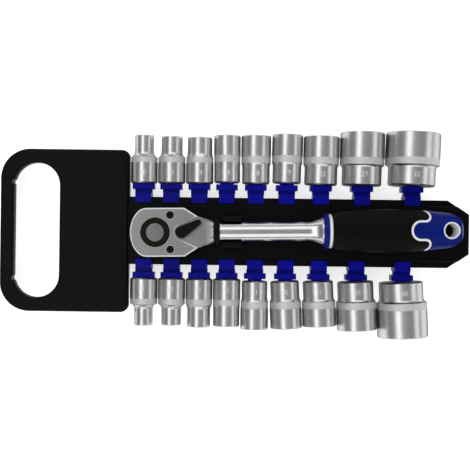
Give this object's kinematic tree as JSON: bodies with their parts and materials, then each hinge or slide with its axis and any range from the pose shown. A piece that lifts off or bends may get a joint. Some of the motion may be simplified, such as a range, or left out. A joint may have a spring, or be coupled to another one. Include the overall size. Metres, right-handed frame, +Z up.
{
  "type": "socket wrench set on a carrying rail",
  "caption": "Half-inch drive socket set: a carrying rail with a hand plate holds sockets on blue clips along both edges and a reversible ratchet on top.",
  "frame": {"origin": "middle of the rail's underside", "axes": "+X along the rail to the end cap, +Y across it to the row with the 10 mm socket, +Z up"},
  "size_m": [0.389, 0.1708, 0.0591],
  "materials": {
    "rail_black": "fine matte black",
    "plate_black": "matte moulded black",
    "clip_blue": "semi-gloss royal blue",
    "socket_steel": "satin chrome plate with a matte band",
    "chrome_steel": "satin to bright chrome plate",
    "satin_steel": "satin nickel",
    "black_steel": "black oxide",
    "spring_steel": "bright spring steel",
    "black_rubber": "matte black",
    "lever_black": "satin black",
    "grip_black": "soft matte black",
    "handle_blue": "smooth blue",
    "handle_white": "smooth white"
  },
  "bodies": {
    "rack": {"rail": "rail_black", "end_cap": "rail_black", "hand_plate": "plate_black", "ratchet_holder": "rail_black", "clip_10": "clip_blue", "clip_12": "clip_blue", "clip_14": "clip_blue", "clip_16": "clip_blue", "clip_18": "clip_blue", "clip_19": "clip_blue", "clip_22": "clip_blue", "clip_27": "clip_blue", "clip_32": "clip_blue", "clip_8": "clip_blue", "clip_11": "clip_blue", "clip_13": "clip_blue", "clip_15": "clip_blue", "clip_17": "clip_blue", "clip_20": "clip_blue", "clip_21": "clip_blue", "clip_24": "clip_blue", "clip_30": "clip_blue"},
    "ratchet": {"ratchet_body": "chrome_steel", "cover_plate": "satin_steel", "cover_screws": "black_steel", "neck_ring": "black_rubber", "front_collar": "handle_blue", "white_ring": "handle_white", "grip": "grip_black", "grip_outline": "handle_white", "handle_end": "handle_blue", "hang_bush": "handle_white"},
    "drive": {"drive_gear": "black_steel", "release_spring": "spring_steel"},
    "button": {"release_button": "satin_steel"},
    "ball": {"detent_ball": "spring_steel"},
    "lever": {"reverse_lever": "lever_black", "lever_plunger": "spring_steel", "lever_spring": "spring_steel"},
    "pawl": {"pawl": "spring_steel"},
    "socket_10": {"socket_10": "socket_steel"},
    "socket_12": {"socket_12": "socket_steel"},
    "socket_14": {"socket_14": "socket_steel"},
    "socket_16": {"socket_16": "socket_steel"},
    "socket_18": {"socket_18": "socket_steel"},
    "socket_19": {"socket_19": "socket_steel"},
    "socket_22": {"socket_22": "socket_steel"},
    "socket_27": {"socket_27": "socket_steel"},
    "socket_32": {"socket_32": "socket_steel"},
    "socket_8": {"socket_8": "socket_steel"},
    "socket_11": {"socket_11": "socket_steel"},
    "socket_13": {"socket_13": "socket_steel"},
    "socket_15": {"socket_15": "socket_steel"},
    "socket_17": {"socket_17": "socket_steel"},
    "socket_20": {"socket_20": "socket_steel"},
    "socket_21": {"socket_21": "socket_steel"},
    "socket_24": {"socket_24": "socket_steel"},
    "socket_30": {"socket_30": "socket_steel"}
  },
  "joints": [
    {"name": "socket_10_pull", "type": "slide", "parent": "rack", "child": "socket_10", "axis": [0, 1, 0], "range_m": [0, 0.04]},
    {"name": "socket_12_pull", "type": "slide", "parent": "rack", "child": "socket_12", "axis": [0, 1, 0], "range_m": [0, 0.04]},
    {"name": "socket_14_pull", "type": "slide", "parent": "rack", "child": "socket_14", "axis": [0, 1, 0], "range_m": [0, 0.04]},
    {"name": "socket_16_pull", "type": "slide", "parent": "rack", "child": "socket_16", "axis": [-0.0052, 1, 0], "range_m": [0, 0.04]},
    {"name": "socket_18_pull", "type": "slide", "parent": "rack", "child": "socket_18", "axis": [0, 1, 0], "range_m": [0, 0.04]},
    {"name": "socket_19_pull", "type": "slide", "parent": "rack", "child": "socket_19", "axis": [0.0175, 0.9998, 0], "range_m": [0, 0.04]},
    {"name": "socket_22_pull", "type": "slide", "parent": "rack", "child": "socket_22", "axis": [0.0175, 0.9998, 0], "range_m": [0, 0.04]},
    {"name": "socket_27_pull", "type": "slide", "parent": "rack", "child": "socket_27", "axis": [0.0175, 0.9998, 0], "range_m": [0, 0.04]},
    {"name": "socket_32_pull", "type": "slide", "parent": "rack", "child": "socket_32", "axis": [0.0349, 0.9994, 0], "range_m": [0, 0.04]},
    {"name": "socket_8_pull", "type": "slide", "parent": "rack", "child": "socket_8", "axis": [0, -1, 0], "range_m": [0, 0.04]},
    {"name": "socket_11_pull", "type": "slide", "parent": "rack", "child": "socket_11", "axis": [0, -1, 0], "range_m": [0, 0.04]},
    {"name": "socket_13_pull", "type": "slide", "parent": "rack", "child": "socket_13", "axis": [0, -1, 0], "range_m": [0, 0.04]},
    {"name": "socket_15_pull", "type": "slide", "parent": "rack", "child": "socket_15", "axis": [0, -1, 0], "range_m": [0, 0.04]},
    {"name": "socket_17_pull", "type": "slide", "parent": "rack", "child": "socket_17", "axis": [0, -1, 0], "range_m": [0, 0.04]},
    {"name": "socket_20_pull", "type": "slide", "parent": "rack", "child": "socket_20", "axis": [0.0523, -0.9986, 0], "range_m": [0, 0.04]},
    {"name": "socket_21_pull", "type": "slide", "parent": "rack", "child": "socket_21", "axis": [0.0523, -0.9986, 0], "range_m": [0, 0.04]},
    {"name": "socket_24_pull", "type": "slide", "parent": "rack", "child": "socket_24", "axis": [0.0523, -0.9986, 0], "range_m": [0, 0.04]},
    {"name": "socket_30_pull", "type": "slide", "parent": "rack", "child": "socket_30", "axis": [0.0523, -0.9986, 0], "range_m": [0, 0.04]},
    {"name": "ratchet_lift", "type": "slide", "parent": "rack", "child": "ratchet", "axis": [0, 0, 1], "range_m": [0, 0.05]},
    {"name": "drive_spin", "type": "hinge", "parent": "ratchet", "child": "drive", "pos_m": [-0.1067, -0.0015, 0.0445], "axis": [0, 0, 1], "continuous": true},
    {"name": "release_press", "type": "slide", "parent": "drive", "child": "button", "axis": [0, 0, -1], "range_m": [0, 0.003], "stiffness_N_per_m": 1500, "deforming": ["release_spring"]},
    {"name": "ball_retract", "type": "slide", "parent": "drive", "child": "ball", "axis": [-0.9998, -0.0192, 0], "range_m": [0, 0.0012]},
    {"name": "lever_flip", "type": "hinge", "parent": "ratchet", "child": "lever", "pos_m": [-0.0857, -0.0011, 0.0445], "axis": [0, 0, -1], "range_deg": [0, 60]},
    {"name": "pawl_rock", "type": "hinge", "parent": "ratchet", "child": "pawl", "pos_m": [-0.0917, -0.00121, 0.0445], "axis": [0, 0, 1], "range_deg": [0, 12]}
  ],
  "couplings": [
    {"joint": "ball_retract", "follows": "release_press", "ratio": 0.4},
    {"joint": "pawl_rock", "follows": "lever_flip", "ratio": 0.2}
  ]
}
